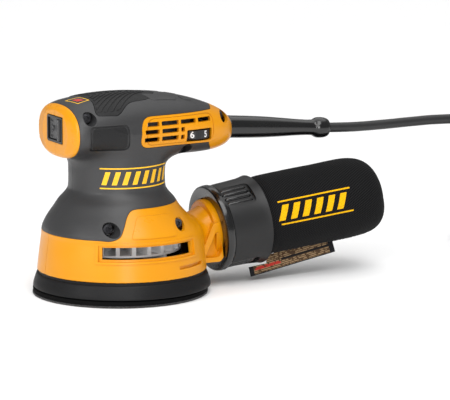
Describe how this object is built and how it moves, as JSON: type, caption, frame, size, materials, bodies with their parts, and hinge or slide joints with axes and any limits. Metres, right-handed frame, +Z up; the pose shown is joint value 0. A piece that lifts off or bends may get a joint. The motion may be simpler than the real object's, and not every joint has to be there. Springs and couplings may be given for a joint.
{
  "type": "orbital sander",
  "caption": "Palm-grip random-orbit sander with a round pad, rocker switch, speed dial, bayonet dust bag and a coiled mains lead.",
  "frame": {"origin": "on the motor axis, at the level of the sanding face", "axes": "+Z up along the motor axis, +X towards the mains lead and dust bag, -Y the side with the speed dial"},
  "size_m": [0.4781, 0.1575, 0.1437],
  "materials": {
    "yellow_plastic": "satin moulded plastic, fine spark texture",
    "grip_rubber": "matt overmoulded rubber",
    "switch_rubber": "matt soft cover over the rocker",
    "black_plastic": "satin black moulded plastic",
    "grey_plastic": "matt grey module case",
    "dark_steel": "blackened steel",
    "steel": "turned steel",
    "copper": "varnished copper",
    "brass": "bright stamped brass",
    "carbon": "matt carbon",
    "fan_plastic": "light moulded plastic",
    "pad_foam": "closed-cell foam",
    "hook_felt": "short hook pile",
    "skirt_rubber": "matt dark grey rubber",
    "gloss_black": "glossy black moulded plastic",
    "bag_cloth": "fine black woven cloth",
    "tag_cloth": "woven tag, black border",
    "cord_rubber": "black rubber sheath"
  },
  "bodies": {
    "housing": {"housing_left": "yellow_plastic", "housing_right": "yellow_plastic", "grip_cover_left": "grip_rubber", "grip_cover_right": "grip_rubber", "palm_pad": "grip_rubber", "switch_frame": "black_plastic", "switch_body": "black_plastic", "speed_module": "grey_plastic", "stator_core": "dark_steel", "field_coil_left": "copper", "field_coil_right": "copper", "upper_bearing": "steel", "lower_bearing": "steel", "bearing_plate": "dark_steel", "brush_holder_left": "brass", "brush_holder_right": "brass", "carbon_brush_left": "carbon", "carbon_brush_right": "carbon", "brush_spring_left": "steel", "brush_spring_right": "steel", "fan_baffle": "black_plastic", "skirt": "skirt_rubber", "strain_relief": "gloss_black", "cord_clamp": "black_plastic", "lead_live": "cord_rubber", "lead_neutral": "cord_rubber", "mains_cord": "cord_rubber", "cord_coil": "cord_rubber", "cord_tie": "cord_rubber", "cord_tail": "cord_rubber", "plug_body": "cord_rubber", "plug_blade_a": "brass", "plug_blade_b": "brass", "housing_screw_front_top": "dark_steel", "housing_screw_rear_top": "dark_steel", "housing_screw_front_base": "dark_steel", "housing_screw_rear_base": "dark_steel", "housing_screw_grip_under": "dark_steel"},
    "rotor": {"motor_shaft": "steel", "armature_core": "steel", "armature_winding_lower": "copper", "armature_winding_upper": "copper", "commutator": "copper", "fan": "fan_plastic", "eccentric_weight": "steel", "pad_bearing": "steel"},
    "pad": {"pad_hub": "steel", "backing_plate": "black_plastic", "foam_pad": "pad_foam", "hook_face": "hook_felt", "pad_screw_1": "dark_steel", "pad_screw_2": "dark_steel", "pad_screw_3": "dark_steel"},
    "rocker": {"switch_rocker": "switch_rubber"},
    "dial": {"speed_dial": "black_plastic"},
    "bag": {"dust_bag": "bag_cloth", "bag_mouth_ring": "black_plastic", "bag_tag": "tag_cloth"},
    "collar": {"bag_collar": "gloss_black"}
  },
  "joints": [
    {"name": "rotor_spin", "type": "hinge", "parent": "housing", "child": "rotor", "pos_m": [0, 0, 0.07], "axis": [0, 0, 1], "continuous": true},
    {"name": "pad_spin", "type": "hinge", "parent": "rotor", "child": "pad", "pos_m": [-0.0013, 0, 0.0165], "axis": [0, 0, 1], "continuous": true},
    {"name": "switch_rock", "type": "hinge", "parent": "housing", "child": "rocker", "pos_m": [-0.0475, 0, 0.1206], "axis": [0, 0, 1], "range_deg": [0, 16]},
    {"name": "speed_turn", "type": "hinge", "parent": "housing", "child": "dial", "pos_m": [0.046, -0.0195, 0.1138], "axis": [0, 0, 1], "range_deg": [-225, 25]},
    {"name": "bag_pull", "type": "slide", "parent": "housing", "child": "bag", "axis": [0.9936, 0, 0.1132], "range_m": [0, 0.045]},
    {"name": "collar_turn", "type": "hinge", "parent": "bag", "child": "collar", "pos_m": [0.0716, 0, 0.0395], "axis": [0.9936, 0, 0.1132], "range_deg": [0, 30]}
  ]
}
